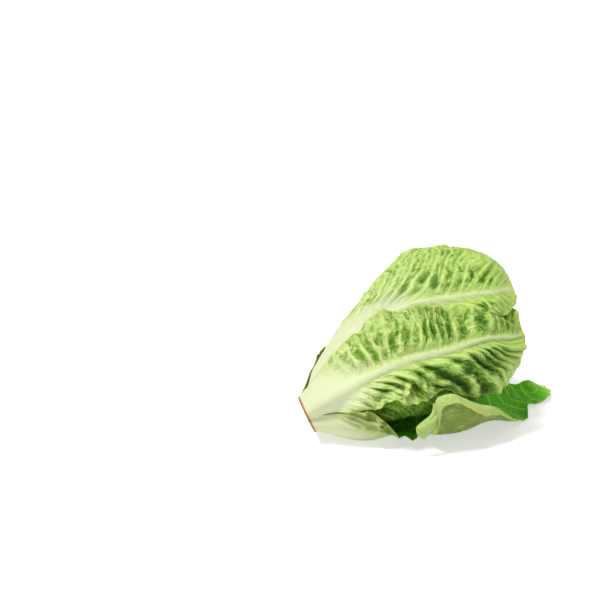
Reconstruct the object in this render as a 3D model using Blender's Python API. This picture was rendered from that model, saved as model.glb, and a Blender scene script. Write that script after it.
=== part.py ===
"""A little romaine lettuce head lying on its side.

Leaves grow from one short stem in layers, layer 0 outermost. The head has its own
coordinates: u runs along its bent axis from the cut butt to the tips, theta runs round
the axis (0 towards -Y, 90 degrees up), and rho is the distance from the axis. Every
leaf keeps to its own layer, and its pleats, rib and ruffles only stand outwards, as far
as the next leaf outside it leaves room. So no two leaves meet. World axes are +X along
the head, +Z up, and the origin is the middle of the flat spot that the head lies on.
"""
import math
from dataclasses import dataclass

import bmesh
import bpy
import numpy as np

MM = 0.001

# Driving dimensions of the head
AXIS_LENGTH = 178 * MM
BUTT_RADIUS = 12 * MM
BELLY_RADIUS = 61 * MM
BUTT_HEIGHT = 21 * MM
BUTT_TILT = math.radians(24.5)
TIP_TILT = math.radians(9.0)
REST_DISTANCE = 74 * MM

# The belly's outline: where it stops widening, where it starts to narrow, and how fast
WIDENING_LENGTH = 110 * MM
WIDENING_POWER = 1.15
NARROWING_START = 115 * MM
NARROWING_LENGTH = 74 * MM
NARROWEST = 0.16

# Swellings of the belly: height, place along the axis, half length, and direction
UPPER_SWELL = 8 * MM
UPPER_SWELL_AT = 140 * MM
UPPER_SWELL_LENGTH = 45 * MM
UPPER_SWELL_TURN = math.radians(105)
UNDER_SWELL = 7 * MM
UNDER_SWELL_AT = 28 * MM
UNDER_SWELL_LENGTH = 18 * MM
UNDER_SWELL_TURN = math.radians(-80)

# Shallow lumps of the belly, as (waves round, radians per metre along, phase, share)
LUMP_HEIGHT = 1.3 * MM
LUMP_GROWTH = 90 * MM
LUMPS = ((3, 40, 0, 1.0), (5, -75, 1, 0.6))

# The stem
STEM_LENGTH = 58 * MM
STEM_RADIUS = 6 * MM
STEM_END = 0.95
STEM_SIDES = 20
STEM_RINGS = 8

# The layers: how many there are at the butt and in the head, and how loose the outer ones lie
BUTT_LAYERS = 4
OUTER_LAYERS = 5
LAYERS = 18
BRANCHING_LENGTH = 68 * MM
BRANCHING_GAP = 1.4 * MM
OPENNESS = 3.0
OPENNESS_DEPTH = 3.0
LEAST_SHARE = 0.42
OVER_SHARE = 0.35
GOLDEN_STEP = 137.5

# Clearances between the layers, wider towards the tips and at the crowded butt
GAP = 0.45 * MM
TIP_CLEARANCE = 0.9 * MM
TIP_CLEARANCE_START = 105 * MM
TIP_CLEARANCE_LENGTH = 35 * MM
BASE_CLEARANCE = 0.4 * MM
BASE_CLEARANCE_LENGTH = 20 * MM

# How fast a leaf may rise past the margin of the one outside it, and from where
FREE_SLOPE = 0.8
FREE_MARGIN = 2 * MM
MOST_ROOM = 20 * MM

# The leaf blades and their relief
BLADE = 0.85 * MM
THINNEST = 0.6 * MM
RIB_HEIGHT = 3.2 * MM
RIB_HALF_WIDTH = 5 * MM
RIB_TAPER = 0.75
PETIOLE_HEIGHT = 2.2 * MM
PETIOLE_LENGTH = 62 * MM
BUTT_TAPER = 20 * MM
BUTT_SHARE = 0.35
PLEAT_HEIGHT = 2.2 * MM
PLEAT_START = 30 * MM
PLEAT_GROWTH = 20 * MM
RUFFLE_HEIGHT = 5 * MM
MARGIN_TOOTH = 1.6 * MM
PUFF_SHARE = 0.6
MOST_PUFF = 10 * MM
PUFF_COVER = 3 * MM
BUNCHING = 0.35
TIP_ROUNDING = 2.2
INNER_ROW_POWER = 1.4

# The outermost layer present in each direction, as stations of (degrees, layer)
OUTERMOST = [(-130, 0), (-25, 0), (25, 1.9), (90, 2.9), (135, 3.3), (195, 1), (230, 0)]

# A crumple that runs through all layers alike, and the ruffles' wavelength along a margin
CRUMPLE = 2.0 * MM
CRUMPLE_LENGTH = 66 * MM
CRUMPLE_START = 40 * MM
CRUMPLE_GROWTH = 60 * MM
CRUMPLE_FLOOR = 12 * MM
CRUMPLE_RISE = 30 * MM
RUFFLE_LENGTH = 27 * MM

# The pressed underside, and the floor leaf's far end, which spreads on the surface
SOFTNESS = 1.5 * MM
SINK = 0.25 * MM
SPREAD_START = 112 * MM
SPREAD_LENGTH = 45 * MM
SPREAD_HEIGHT = 1.2 * MM
SPREAD_TURN = math.radians(32)
SPREAD_WIDTH = math.radians(25)
STEEPEST = 0.6
FLOOR_CURL = 5 * MM
ROLLED_STRIP_START = 70 * MM
ROLL_HEIGHT = 7.5 * MM
FLOOR_FADE_LENGTH = 28 * MM
FLOOR_BLADE = 0.7 * MM
FLOOR_REACH = 0.3 * MM

# Colours, linear
LEAF_OUTER = (0.36, 0.50, 0.14)
LEAF_FLOOR = (0.30, 0.42, 0.12)
LEAF_GREEN = (0.14, 0.32, 0.04)
LEAF_HEART = (0.62, 0.68, 0.22)
STEM_WHITE = (0.80, 0.72, 0.50)
ROUGHNESS = 0.45
SHARP_EDGE = math.radians(60)

# The inner leaves: tips, half widths from the outer to the innermost, and their outline
INNER_TURN = -30
INNER_TIP = 164 * MM
INNER_TIP_STEP = 0.9 * MM
INNER_TIP_SPREAD = 4 * MM
INNER_BOW = 12 * MM
INNER_HALF_WIDTH = 54 * MM
HEART_HALF_WIDTH = 32 * MM
INNER_OUTLINE = ((0, 0.35, 80), (0.35, 0.85, 112), (0.7, 1, 112), (1, 0.75, 112))


@dataclass
class Leaf:
    """One leaf: its layer, its length along the axis, and stations of (u in mm, degrees)."""

    name: str
    layer: int
    tip: float
    bow: float
    rib: list
    low: list
    high: list
    rows: int
    columns: int
    colour: tuple
    start: float = 0.0


def ramp(x):
    """0 below 0, 1 above 1, straight between."""
    return np.clip(x, 0, 1)


def smooth_ramp(x):
    """As ramp, with no corners."""
    t = ramp(x)
    return t * t * (3 - 2 * t)


def bump(x):
    """1 at 0, falling to 0 on both sides."""
    return np.exp(-(x ** 2))


def along(u, stations):
    """A smooth curve through (u in mm, value) stations, with no overshoot."""
    x = np.array([s[0] * MM for s in stations])
    y = np.array([float(s[1]) for s in stations])
    if len(x) == 1:
        return np.full_like(u, y[0])
    step = np.diff(y) / np.diff(x)
    slope = np.zeros_like(y)
    slope[1:-1] = np.where(step[:-1] * step[1:] > 0, 0.5 * (step[:-1] + step[1:]), 0)
    i = np.clip(np.searchsorted(x, u) - 1, 0, len(x) - 2)
    width = x[i + 1] - x[i]
    t = np.clip((u - x[i]) / width, 0, 1)
    return (
        y[i] * (1 + 2 * t) * (1 - t) ** 2
        + y[i + 1] * t * t * (3 - 2 * t)
        + width * t * (1 - t) * (slope[i] * (1 - t) - slope[i + 1] * t)
    )


def axis(u):
    """X, Z and tilt of the bent axis at u, with X measured from the butt."""
    bend = (TIP_TILT - BUTT_TILT) / AXIS_LENGTH
    tilt = BUTT_TILT + bend * u
    x = (np.sin(tilt) - math.sin(BUTT_TILT)) / bend
    z = BUTT_HEIGHT - (np.cos(tilt) - math.cos(BUTT_TILT)) / bend
    return x, z, tilt


def hull_radius(u, theta):
    """Distance from the axis to the inner face of layer 0."""
    widening = np.sin(math.pi / 2 * np.clip(u / WIDENING_LENGTH, 0, 1)) ** WIDENING_POWER
    past = np.clip(u - NARROWING_START, 0, None) / NARROWING_LENGTH
    narrowing = np.clip(1 - past ** 2, NARROWEST, 1)
    radius = BUTT_RADIUS + (BELLY_RADIUS - BUTT_RADIUS) * widening * narrowing
    upward = (0.5 + 0.5 * np.cos(theta - UPPER_SWELL_TURN)) ** 2
    downward = 0.5 + 0.5 * np.cos(theta - UNDER_SWELL_TURN)
    radius += UPPER_SWELL * bump((u - UPPER_SWELL_AT) / UPPER_SWELL_LENGTH) * upward
    radius += UNDER_SWELL * bump((u - UNDER_SWELL_AT) / UNDER_SWELL_LENGTH) * downward
    lumps = sum(
        share * np.sin(round_waves * theta + rate * u + phase)
        for round_waves, rate, phase, share in LUMPS
    )
    return radius + LUMP_HEIGHT * lumps * ramp(u / LUMP_GROWTH)


def stem_radius(u):
    return STEM_RADIUS * np.clip(1 - (u / STEM_LENGTH) ** 2, 0, 1)


def depth(layer):
    """How deep a layer lies, in units of an inner layer's spacing: outer layers lie looser."""
    return layer + OPENNESS * (1 - np.exp(-layer / OPENNESS_DEPTH))


def layer_share(layer, u):
    """Where a layer lies at u between the core, 0, and the head's outside, 1."""
    grown = np.sin(math.pi / 2 * ramp(u / BRANCHING_LENGTH)) ** 2
    present = BUTT_LAYERS + (LAYERS - BUTT_LAYERS) * grown
    return np.clip(1 - depth(layer) / depth(present), 0, 1)


def layer_radius(layer, u, theta):
    """Distance from the axis to the inner face of a layer."""
    core = stem_radius(u) + GAP
    first = OUTERMOST[0][0]
    turn = (np.degrees(theta) - first) % 360 + first
    outermost = along(turn * MM, OUTERMOST)
    share = layer_share(layer, u) / np.maximum(layer_share(outermost, u), LEAST_SHARE)
    share = np.where(share > 1, 1 + OVER_SHARE * (share - 1), share)
    return core + (hull_radius(u, theta) - core) * share


def layer_start(layer):
    """Where a layer parts from the stem, a little past the point where its radius begins."""
    share = (layer - BUTT_LAYERS) / (LAYERS - BUTT_LAYERS)
    return BRANCHING_LENGTH * math.asin(math.sqrt(share)) / (math.pi / 2) + BRANCHING_GAP


def edges(leaf, u):
    """Rib direction and the angles from it to the two margins, in radians."""
    rib = np.radians(along(u, leaf.rib))
    return rib, rib - np.radians(along(u, leaf.low)), np.radians(along(u, leaf.high)) - rib


def outside(leaf, u, theta):
    """Distance from the leaf's outline, 0 within it."""
    rib, below, above = edges(leaf, u)
    turn = (theta - rib + math.pi) % (2 * math.pi) - math.pi
    half = np.where(turn < 0, below, above)
    v = np.abs(turn) / half
    beside = (v - 1) * half * layer_radius(leaf.layer, u, theta)
    past = u - (leaf.tip - leaf.bow * ramp(v) ** TIP_ROUNDING)
    return np.hypot(np.clip(beside, 0, None), np.clip(past, 0, None))


def room(leaf, leaves, u, theta, margin):
    """How far the leaf's outer face may stand from its layer, more past other leaves' margins."""
    own = layer_radius(leaf.layer, u, theta)
    free = np.full_like(u, MOST_ROOM)
    clearance = GAP + TIP_CLEARANCE * ramp((u - TIP_CLEARANCE_START) / TIP_CLEARANCE_LENGTH)
    if leaf.layer < OUTER_LAYERS:
        clearance += BASE_CLEARANCE * ramp(2 - u / BASE_CLEARANCE_LENGTH)
    for other in leaves:
        if other.layer >= leaf.layer:
            continue
        away = np.clip(outside(other, u, theta) - margin, 0, None)
        limit = layer_radius(other.layer, u, theta) - clearance + FREE_SLOPE * away - own
        free = np.minimum(free, limit)
    return free


def settle(u, theta, rho):
    """Takes head coordinates to the world, with the underside pressed flat on the surface."""
    x, z, tilt = axis(u)
    hull = hull_radius(u, theta) + BLADE
    height = z + hull * np.sin(theta) * np.cos(tilt)
    lift = 0.5 * (np.hypot(height, SOFTNESS) - height) - SINK
    lift = np.clip(lift, 0, None) * np.clip(rho / hull, 0, 1.2) ** 2
    side = -rho * np.cos(theta)
    up = z + rho * np.sin(theta) * np.cos(tilt) + lift
    wave = 2 * math.pi / CRUMPLE_LENGTH
    crumple = CRUMPLE * ramp((u - CRUMPLE_START) / CRUMPLE_GROWTH)
    crumple = crumple * ramp((up - CRUMPLE_FLOOR) / CRUMPLE_RISE)
    return np.stack(
        [
            x - REST_DISTANCE - rho * np.sin(theta) * np.sin(tilt),
            side + crumple * np.sin(wave * up + 20 * u + 1),
            up + crumple * np.sin(wave * side - 30 * u),
        ],
        -1,
    )


def floor_spread(leaf, u, v, theta, rho):
    """Lays the far end of the floor leaf on the surface, where the head above narrows."""
    if leaf.layer > 0:
        return rho
    _, z, tilt = axis(u)
    curl = FLOOR_CURL * np.abs(v) ** 3 * (0.6 + 0.4 * np.sin(2 * math.pi * u / RUFFLE_LENGTH))
    down = np.clip(-np.sin(theta), STEEPEST, 1)
    reach = (z - SPREAD_HEIGHT) / (np.cos(tilt) * down)
    blend = smooth_ramp((u - SPREAD_START) / SPREAD_LENGTH)
    blend = blend * smooth_ramp((-theta - SPREAD_TURN) / SPREAD_WIDTH)
    return rho + blend * np.clip(reach - curl - rho, 0, None)


def slab(rows, columns):
    """A grid one cell thick, split into the same triangles on both faces."""
    work = bmesh.new()
    bmesh.ops.create_grid(work, x_segments=rows, y_segments=columns, size=0.5)
    for corner in work.verts:
        corner.co.x += 0.5
        corner.co.y *= 2
    bmesh.ops.triangulate(work, faces=work.faces[:], quad_method="ALTERNATE")
    lower = work.faces[:]
    extruded = bmesh.ops.extrude_face_region(work, geom=lower, use_keep_orig=True)
    raised = [item for item in extruded["geom"] if isinstance(item, bmesh.types.BMVert)]
    for corner in raised:
        corner.co.z = 1
    bmesh.ops.triangulate(work, faces=[face for face in work.faces if len(face.verts) > 3])
    bmesh.ops.recalc_face_normals(work, faces=work.faces[:])
    mesh = bpy.data.meshes.new("slab")
    work.to_mesh(mesh)
    work.free()
    return mesh


def leaf_points(leaf, leaves, s, v, outer):
    """World points of a leaf: s along it, v across from -1 to 1, outer 0 or 1 through it."""
    inner_leaf = leaf.layer >= OUTER_LAYERS
    bunching = 0.0 if inner_leaf else BUNCHING
    v = np.sign(v) * (bunching * np.abs(v) ** 2 + (1 - bunching) * np.abs(v))
    row = np.rint(s * leaf.rows)
    span = leaf.tip - leaf.start
    row_length = span / leaf.rows
    if inner_leaf:
        row_length *= INNER_ROW_POWER * (s + 0.5 / leaf.rows) ** (INNER_ROW_POWER - 1)
        s = s ** INNER_ROW_POWER
    u = leaf.start + span * s - leaf.bow * s ** 3 * np.abs(v) ** TIP_ROUNDING
    rib, below, above = edges(leaf, u)

    # Every second row stands proud, and its margin reaches further, but not on the surface
    crinkle = np.where(row % 2 == 0, 1.0, -1.0)
    lively = ramp(5 - u / FLOOR_FADE_LENGTH) if leaf.layer == 0 else 1.0
    half = np.where(v < 0, below, above)
    tooth = np.abs(v) ** 6 * crinkle * MARGIN_TOOTH / layer_radius(leaf.layer, u, rib)
    theta = rib + v * half + np.sign(v) * tooth * lively * ramp(s * 4) * ramp(6 - 6 * s)
    own = layer_radius(leaf.layer, u, theta)

    # The blade is thick at the rib and in the petiole
    across = bump(v * half * own / RIB_HALF_WIDTH)
    young = ramp(1 - u / PETIOLE_LENGTH)
    thick = RIB_HEIGHT * across * (1 - RIB_TAPER * s) + PETIOLE_HEIGHT * young * (1 - v * v)
    blade = BLADE + thick * ramp(BUTT_SHARE + u / BUTT_TAPER)

    # Pleats across the blade, and ruffles along its margins
    pleat = PLEAT_HEIGHT * (1 + crinkle) / 2 * ramp(np.abs(v) * 3 - 0.4)
    pleat = pleat * lively * ramp((u - PLEAT_START) / PLEAT_GROWTH)
    inland = ramp((s - 0.3) * 3) * ramp((1 - s) * 6 - 0.7)
    wave = 0.5 + 0.5 * np.sin(2 * math.pi * u / RUFFLE_LENGTH + 2 * leaf.layer + np.sign(v))
    ruffle = RUFFLE_HEIGHT * np.abs(v) ** 5 * wave * inland
    if leaf.layer == 0:
        roll = smooth_ramp((v - 0.62) / 0.2) * (1 - 0.75 * smooth_ramp((v - 0.85) / 0.15))
        ruffle = np.where((v > 0) & (u > ROLLED_STRIP_START), ROLL_HEIGHT * roll, ruffle)
    ruffle = ruffle * lively

    # Flat facets cut inside a curved layer, so each point is raised by what they lose
    cell = (1 + bunching) * (below + above) / leaf.columns
    ahead = layer_radius(leaf.layer, u + row_length / 2, theta)
    behind = layer_radius(leaf.layer, np.maximum(u - row_length / 2, leaf.start), theta)
    row_sink = np.clip(own - 0.5 * (ahead + behind), 0, None)
    row_rise = np.clip(0.5 * (ahead + behind) - own, 0, None)
    beside = layer_radius(leaf.layer, u, theta - cell / 2) + layer_radius(leaf.layer, u, theta + cell / 2)
    chord_sink = np.clip(own - 0.5 * beside * np.cos(cell / 2), 0, None) + row_sink

    # What stands outwards gets only the room that the outer leaves leave
    free = room(leaf, leaves, u, theta, FREE_MARGIN + 0.6 * np.maximum(cell * own, row_length))
    free = np.clip(free - chord_sink - row_rise, THINNEST, None)
    blade = np.minimum(blade, free)
    relief = pleat + ruffle
    if leaf.layer >= OUTER_LAYERS - 1:
        hollow = hull_radius(u, theta) - own - PUFF_COVER
        puff = np.clip(np.minimum(free - blade - pleat, hollow), 0, MOST_PUFF)
        relief = relief + PUFF_SHARE * puff * ramp(s * 3)
    relief = np.minimum(relief, free - blade)
    rho = floor_spread(leaf, u, v, theta, own + chord_sink + relief) + outer * blade
    points = settle(u, theta, rho)
    if leaf.layer == 0:
        lowest = np.where(outer > 0.5, 0, FLOOR_BLADE)
        points[:, 2] = np.where(points[:, 2] < lowest + FLOOR_REACH, lowest, points[:, 2])
    return points


def material(name, colour):
    made = bpy.data.materials.new(name)
    made.use_nodes = True
    surface = made.node_tree.nodes["Principled BSDF"]
    surface.inputs["Base Color"].default_value = (*colour, 1)
    surface.inputs["Roughness"].default_value = ROUGHNESS
    surface.inputs["Metallic"].default_value = 0
    return made


def add(name, mesh, colour, collection):
    made = bpy.data.objects.new(name, mesh)
    mesh.name = name
    mesh.materials.append(material(name, colour))
    collection.objects.link(made)
    return made


def turn_outwards(mesh):
    work = bmesh.new()
    work.from_mesh(mesh)
    bmesh.ops.recalc_face_normals(work, faces=work.faces[:])
    work.to_mesh(mesh)
    work.free()
    mesh.shade_smooth()
    mesh.set_sharp_from_angle(angle=SHARP_EDGE)


def build_leaf(leaf, leaves, collection):
    mesh = slab(leaf.rows, leaf.columns)
    flat = np.empty(len(mesh.vertices) * 3)
    mesh.vertices.foreach_get("co", flat)
    s, v, outer = flat.reshape(-1, 3).T
    mesh.vertices.foreach_set("co", leaf_points(leaf, leaves, s, v, outer).ravel())
    turn_outwards(mesh)
    return add(leaf.name, mesh, leaf.colour, collection)


def build_stem(collection):
    """The short core that the leaves grow from, cut flat at the butt."""
    work = bmesh.new()
    bmesh.ops.create_cone(
        work, cap_ends=True, cap_tris=True, segments=STEM_SIDES, radius1=1, radius2=1, depth=1
    )
    upright = [e for e in work.edges if abs(e.verts[0].co.z - e.verts[1].co.z) > 0.5]
    bmesh.ops.subdivide_edges(work, edges=upright, cuts=STEM_RINGS - 1)
    bmesh.ops.triangulate(work, faces=[face for face in work.faces if len(face.verts) > 3])
    mesh = bpy.data.meshes.new("stem")
    work.to_mesh(mesh)
    work.free()
    flat = np.empty(len(mesh.vertices) * 3)
    mesh.vertices.foreach_get("co", flat)
    across, upward, length = flat.reshape(-1, 3).T
    u = (length + 0.5) * STEM_END * STEM_LENGTH
    rho = np.hypot(across, upward) * stem_radius(u)
    mesh.vertices.foreach_set("co", settle(u, np.arctan2(upward, across), rho).ravel())
    turn_outwards(mesh)
    return add("stem", mesh, STEM_WHITE, collection)


def outer_leaves():
    floor = Leaf(
        "leaf_floor", 0, 207 * MM, 13 * MM,
        rib=[(0, -66), (60, -70), (120, -80), (160, -92), (207, -103)],
        low=[(0, -140), (60, -130), (120, -134), (150, -126), (180, -114), (207, -109)],
        high=[
            (0, 8), (20, -5), (37, -10), (45, -32), (54, -52), (62, -48), (70, -18), (82, -3),
            (92, -8), (105, -17), (117, -26), (130, -40), (143, -57), (152, -66), (163, -70),
            (173, -80), (190, -84), (207, -88),
        ],
        rows=30, columns=12, colour=LEAF_FLOOR,
    )
    back_low = Leaf(
        "leaf_back_low", 1, 158 * MM, 24 * MM,
        rib=[(0, 205)], low=[(0, 146), (60, 152), (160, 158)], high=[(0, 280), (60, 258), (160, 250)],
        rows=18, columns=10, colour=LEAF_OUTER,
    )
    front = Leaf(
        "leaf_front", 2, 152 * MM, 16 * MM,
        rib=[(0, 34), (48, 31), (91, 27), (121, 23), (152, 15)],
        low=[
            (0, -4), (18, 2), (37, -2), (46, 0), (64, -5), (74, -4), (84, 0), (94, -8),
            (114, -19), (132, -26), (152, -28),
        ],
        high=[
            (0, 112), (11, 88), (28, 79), (55, 75), (67, 67), (85, 59), (105, 50), (124, 42),
            (137, 37), (152, 32),
        ],
        rows=24, columns=12, colour=LEAF_OUTER,
    )
    top = Leaf(
        "leaf_top", 3, 168 * MM, 22 * MM,
        rib=[(0, 80), (68, 71), (93, 61), (114, 54), (142, 50), (168, 56)],
        low=[(0, 5), (40, 12), (90, 10), (112, 28), (127, 36), (140, 33), (168, 30)],
        high=[(0, 150), (40, 132), (90, 126), (168, 128)],
        rows=24, columns=12, colour=LEAF_OUTER,
    )
    back = Leaf(
        "leaf_back", 4, 160 * MM, 24 * MM,
        rib=[(0, 152)], low=[(0, 85), (60, 100), (160, 104)], high=[(0, 220), (60, 206), (160, 202)],
        rows=18, columns=10, colour=LEAF_OUTER, start=layer_start(4),
    )
    return [floor, back_low, front, top, back]


def inner_leaves():
    """The leaves inside, smaller and paler towards the heart, a golden angle apart."""
    made = []
    for layer in range(OUTER_LAYERS, LAYERS - 1):
        number = layer - OUTER_LAYERS
        inward = number / (LAYERS - OUTER_LAYERS - 1)
        angle = INNER_TURN + GOLDEN_STEP * number
        start = layer_start(layer)
        tip = INNER_TIP - INNER_TIP_STEP * number + INNER_TIP_SPREAD * math.sin(2.3 * layer)
        half_width = INNER_HALF_WIDTH + (HEART_HALF_WIDTH - INNER_HALF_WIDTH) * inward
        turns = []
        for share, breadth, widest in INNER_OUTLINE:
            u = start + (tip - start) * share
            radius = layer_radius(layer, np.array(u), np.array(math.radians(angle)))
            turns.append((u / MM, min(math.degrees(breadth * half_width / radius), widest)))
        made.append(
            Leaf(
                f"leaf_inner_{number + 1:02d}", layer, tip, INNER_BOW,
                rib=[(0, angle)],
                low=[(u, angle - turn) for u, turn in turns],
                high=[(u, angle + turn) for u, turn in turns],
                rows=8, columns=12,
                colour=tuple(a + (b - a) * inward for a, b in zip(LEAF_GREEN, LEAF_HEART)),
                start=start,
            )
        )
    return made


def main():
    for old in list(bpy.data.objects):
        bpy.data.objects.remove(old)
    collection = bpy.data.collections.new("romaine_lettuce_head")
    bpy.context.scene.collection.children.link(collection)
    build_stem(collection)
    leaves = outer_leaves() + inner_leaves()
    for leaf in leaves:
        build_leaf(leaf, leaves, collection)


main()
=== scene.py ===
# %% [markdown]
# # A little romaine lettuce head
#
# The head lies on its side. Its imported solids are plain, coarse leaves that nest
# round a short stem, layer in layer. This lesson puts a fine leaf in the place of each one.
# The fine leaves follow the same few curves as the solids, so they keep the same form,
# and get what the eye looks for: a white rib, pleats, crumple, ruffled margins and veins.

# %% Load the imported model
import math
from dataclasses import dataclass

import bpy
import numpy as np
from mathutils import Matrix, Vector


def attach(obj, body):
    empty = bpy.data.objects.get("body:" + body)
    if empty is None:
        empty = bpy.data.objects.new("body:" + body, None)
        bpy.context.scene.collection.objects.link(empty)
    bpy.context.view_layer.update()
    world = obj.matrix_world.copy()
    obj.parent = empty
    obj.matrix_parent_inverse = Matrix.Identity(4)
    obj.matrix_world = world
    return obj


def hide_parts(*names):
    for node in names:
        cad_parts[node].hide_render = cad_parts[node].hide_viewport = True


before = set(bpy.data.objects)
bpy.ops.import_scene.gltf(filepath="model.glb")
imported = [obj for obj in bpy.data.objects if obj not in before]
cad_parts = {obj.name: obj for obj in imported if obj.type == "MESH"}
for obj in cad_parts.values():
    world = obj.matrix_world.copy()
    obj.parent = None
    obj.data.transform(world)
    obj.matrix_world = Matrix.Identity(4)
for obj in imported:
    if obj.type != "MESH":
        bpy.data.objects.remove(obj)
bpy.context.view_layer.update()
MM = 0.001
print("solids:", len(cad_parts))

# %% [markdown]
# ## Camera
#
# A camera needs a place, a direction and a lens. Here the place was found from the head:
# it stands 948 mm from the middle of the butt, a little above it and to its left, and the
# lens is a long one, so the far leaves look hardly smaller than the near ones. It looks
# past the head, because the head lies low and right of the middle of the picture.

# %% Camera
BUTT = Vector((-74 * MM, 0, 21 * MM))
AZIMUTH = math.radians(-21)
ELEVATION = math.radians(25)
DISTANCE = 948 * MM
LENS_MM = 80
SIGHT = 100
PITCH = math.radians(4.85)
YAW = math.radians(0.26)


def turned(first, second, angle):
    """Two directions, turned together from the first one towards the second."""
    cos, sin = math.cos(angle), math.sin(angle)
    return first * cos + second * sin, second * cos - first * sin


back = Vector((
    math.sin(AZIMUTH) * math.cos(ELEVATION),
    -math.cos(AZIMUTH) * math.cos(ELEVATION),
    math.sin(ELEVATION),
))
right = Vector((math.cos(AZIMUTH), math.sin(AZIMUTH), 0))
up = back.cross(right)
place = BUTT + DISTANCE * back
up, back = turned(up, back, PITCH)
back, right = turned(back, right, YAW)

bpy.ops.object.camera_add()
camera = bpy.context.object
camera.name = "camera"
camera.data.lens = LENS_MM
camera.data.clip_end = SIGHT
turn = Matrix((right, up, back)).transposed().to_4x4()
camera.matrix_world = Matrix.Translation(place) @ turn
bpy.context.scene.camera = camera
print("camera at, m:", [round(x, 3) for x in place])

# %% [markdown]
# ## Floor and light
#
# The head lies in a bright studio, on white. A pale sky from all sides gives the soft
# light between the leaves. A sun with a wide angle gives the direction: its soft shadows
# draw the pleats. Lamps could do the same, but their light falls off across the floor,
# and a sun's doesn't, so the floor stays evenly white. The floor also glows a little, so
# that it is white all over and its shadows stay pale.

# %% Floor and light
FLOOR_WIDTH = 14
FLOOR_GREY = (0.55, 0.55, 0.55, 1)
FLOOR_GLOW = 0.52
SKY_COLOUR = (1, 1, 0.97, 1)
SKY_STRENGTH = 0.45

bpy.ops.mesh.primitive_plane_add(size=FLOOR_WIDTH)
floor = bpy.context.object
floor.name = "floor"
white = bpy.data.materials.new("white_floor")
white.use_nodes = True
paint = white.node_tree.nodes["Principled BSDF"]
paint.inputs["Base Color"].default_value = FLOOR_GREY
paint.inputs["Roughness"].default_value = 0.85
paint.inputs["Emission Color"].default_value = (1, 1, 1, 1)
paint.inputs["Emission Strength"].default_value = FLOOR_GLOW
floor.data.materials.append(white)

sky = bpy.data.worlds.new("sky")
bpy.context.scene.world = sky
sky.use_nodes = True
sky.node_tree.nodes["Background"].inputs["Color"].default_value = SKY_COLOUR
sky.node_tree.nodes["Background"].inputs["Strength"].default_value = SKY_STRENGTH


def add_sun(name, aim, strength, spread):
    """A sun that shines from the direction aim, over a spread in degrees."""
    bpy.ops.object.light_add(type="SUN")
    made = bpy.context.object
    made.name = name
    made.data.energy = strength
    made.data.angle = math.radians(spread)
    made.rotation_euler = Vector(aim).to_track_quat("Z", "Y").to_euler()


add_sun("key", aim=(-0.6, -0.25, 1.3), strength=3.25, spread=11)
add_sun("fill", aim=(0.9, -0.6, 1.1), strength=0.5, spread=60)
bpy.context.scene.view_settings.view_transform = "Standard"

# %% [markdown]
# ## The head's own coordinates
#
# Leaves are bent round a bent axis, so world x, y and z are awkward to think in. The head
# gets its own coordinates. `u` runs along the axis from the cut butt to the tips, `theta`
# runs round it, 0 at the near side and 90 degrees on top, and `rho` is the distance from
# it. The curves are those that the solids were made with. Only the outside is drawn in
# here and there, by up to 4 mm, which leaves room for the pleats that stand out of it.

# %% Small helpers
def ramp(x):
    """0 below 0, 1 above 1, straight between."""
    return np.clip(x, 0, 1)


def smooth(x):
    """As ramp, with no corners."""
    t = ramp(x)
    return t * t * (3 - 2 * t)


def bump(x):
    """1 at 0, falling to 0 on both sides."""
    return np.exp(-(x ** 2))


def along(u, stations):
    """A smooth curve through (u in mm, value) stations, with no overshoot."""
    x = np.array([s[0] * MM for s in stations])
    y = np.array([float(s[1]) for s in stations])
    if len(x) == 1:
        return np.full_like(u, y[0])
    step = np.diff(y) / np.diff(x)
    slope = np.zeros_like(y)
    slope[1:-1] = np.where(step[:-1] * step[1:] > 0, 0.5 * (step[:-1] + step[1:]), 0)
    i = np.clip(np.searchsorted(x, u) - 1, 0, len(x) - 2)
    width = x[i + 1] - x[i]
    t = ramp((u - x[i]) / width)
    return (
        y[i] * (1 + 2 * t) * (1 - t) ** 2
        + y[i + 1] * t * t * (3 - 2 * t)
        + width * t * (1 - t) * (slope[i] * (1 - t) - slope[i + 1] * t)
    )


# %% The axis
AXIS_LENGTH = 178 * MM
BUTT_TILT = math.radians(24.5)
TIP_TILT = math.radians(9)


def axis(u):
    """X, Z and tilt of the bent axis, with X measured from the butt."""
    bend = (TIP_TILT - BUTT_TILT) / AXIS_LENGTH
    tilt = BUTT_TILT + bend * u
    x = (np.sin(tilt) - math.sin(BUTT_TILT)) / bend
    z = BUTT.z - (np.cos(tilt) - math.cos(BUTT_TILT)) / bend
    return x, z, tilt


# %% The belly
BUTT_RADIUS = 12 * MM
BELLY_RADIUS = 61 * MM
WIDENING_LENGTH = 110 * MM
NARROWING_START = 115 * MM
NARROWING_LENGTH = 74 * MM
NARROWEST = 0.16
LUMP_HEIGHT = 1.3 * MM
# Swells and dents of the outside: height, middle and reach in mm, and the side they are on
SWELLS = (
    (8, 140, 45, "upward"),
    (7, 28, 18, "downward"),
    (-3.5, 62, 30, "upward"),
    (2, 152, 14, "upward"),
    (1.5, 118, 16, "upward"),
    (4.5, 144, 18, "nearside"),
)


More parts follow.
